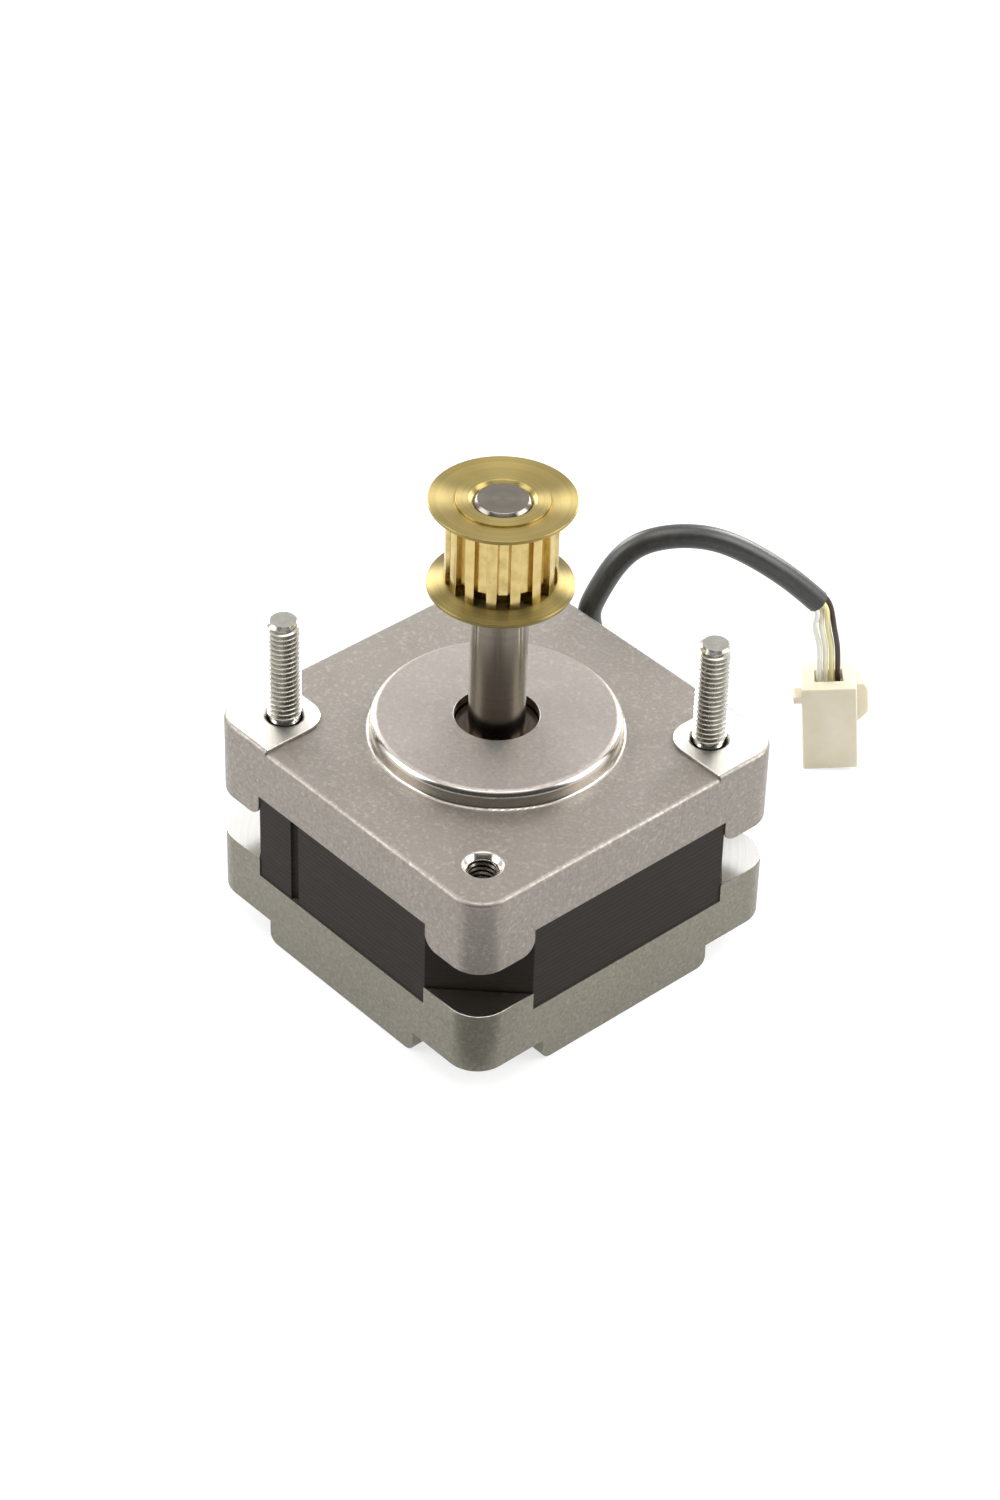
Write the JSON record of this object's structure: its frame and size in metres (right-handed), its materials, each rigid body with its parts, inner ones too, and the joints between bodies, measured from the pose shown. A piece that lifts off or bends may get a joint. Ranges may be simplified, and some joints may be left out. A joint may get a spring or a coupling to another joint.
{
  "type": "stepper motor",
  "caption": "Square-frame stepper motor with a toothed brass belt pulley on its shaft, mounting studs, a round pilot boss and a short cable that ends in a connector.",
  "frame": {"origin": "on the shaft's axis, at the level of the rear cap's feet, which the motor stands on", "axes": "+Z along the shaft towards the pulley; +Y towards the side where the cable leaves; X and Y square to the sides"},
  "size_m": [0.0352, 0.0605, 0.0449],
  "materials": {
    "front_cap_alloy": "tumbled die-cast",
    "rear_cap_alloy": "tumbled die-cast",
    "lamination_steel": "matt black ground stack",
    "brass": "turned",
    "shaft_steel": "ground",
    "bearing_steel": "ground",
    "zinc_steel": "zinc plated",
    "rotor_steel": "ground laminations",
    "magnet": "ground",
    "copper_winding": "enamelled copper wire",
    "insulator_plastic": "moulded",
    "board": "lacquered glass laminate",
    "gland_rubber": "moulded",
    "jacket": "satin cable jacket",
    "lead_white": "extruded",
    "lead_ivory": "extruded",
    "lead_yellow": "extruded",
    "lead_brown": "extruded",
    "connector_nylon": "moulded",
    "contact_metal": "tin plated"
  },
  "bodies": {
    "motor_body": {"front_cap": "front_cap_alloy", "rear_cap": "rear_cap_alloy", "stator_stack": "lamination_steel", "front_insulator": "insulator_plastic", "rear_insulator": "insulator_plastic", "stator_coils": "copper_winding", "front_outer_race": "bearing_steel", "rear_outer_race": "bearing_steel", "front_bearing_shields": "bearing_steel", "rear_bearing_shields": "bearing_steel", "preload_washer": "bearing_steel", "case_screws": "zinc_steel", "stud_screws": "zinc_steel", "terminal_board": "board", "terminal_pins": "contact_metal", "cable_gland": "gland_rubber", "cable_jacket": "jacket", "lead_white": "lead_white", "lead_ivory": "lead_ivory", "lead_yellow": "lead_yellow", "lead_brown": "lead_brown", "lead_tails": "lead_ivory", "connector_housing": "connector_nylon", "connector_contacts": "contact_metal"},
    "rotor": {"shaft": "shaft_steel", "front_rotor_cup": "rotor_steel", "rear_rotor_cup": "rotor_steel", "rotor_magnet": "magnet", "front_spacer": "brass", "rear_spacer": "brass", "front_inner_race": "bearing_steel", "rear_inner_race": "bearing_steel", "pulley_core": "brass", "pulley_upper_flange": "brass", "pulley_lower_flange": "brass"},
    "front_ball_set": {"front_balls": "bearing_steel", "front_ball_cage": "brass"},
    "rear_ball_set": {"rear_balls": "bearing_steel", "rear_ball_cage": "brass"}
  },
  "joints": [
    {"name": "shaft_spin", "type": "hinge", "parent": "motor_body", "child": "rotor", "pos_m": [0, 0, 0.0207], "axis": [0, 0, 1], "continuous": true},
    {"name": "front_ball_spin", "type": "hinge", "parent": "motor_body", "child": "front_ball_set", "pos_m": [0, 0, 0.0194], "axis": [0, 0, 1], "continuous": true},
    {"name": "rear_ball_spin", "type": "hinge", "parent": "motor_body", "child": "rear_ball_set", "pos_m": [0, 0, 0.0036], "axis": [0, 0, 1], "continuous": true}
  ],
  "couplings": [
    {"joint": "front_ball_spin", "follows": "shaft_spin", "ratio": 0.38889},
    {"joint": "rear_ball_spin", "follows": "shaft_spin", "ratio": 0.38889}
  ]
}
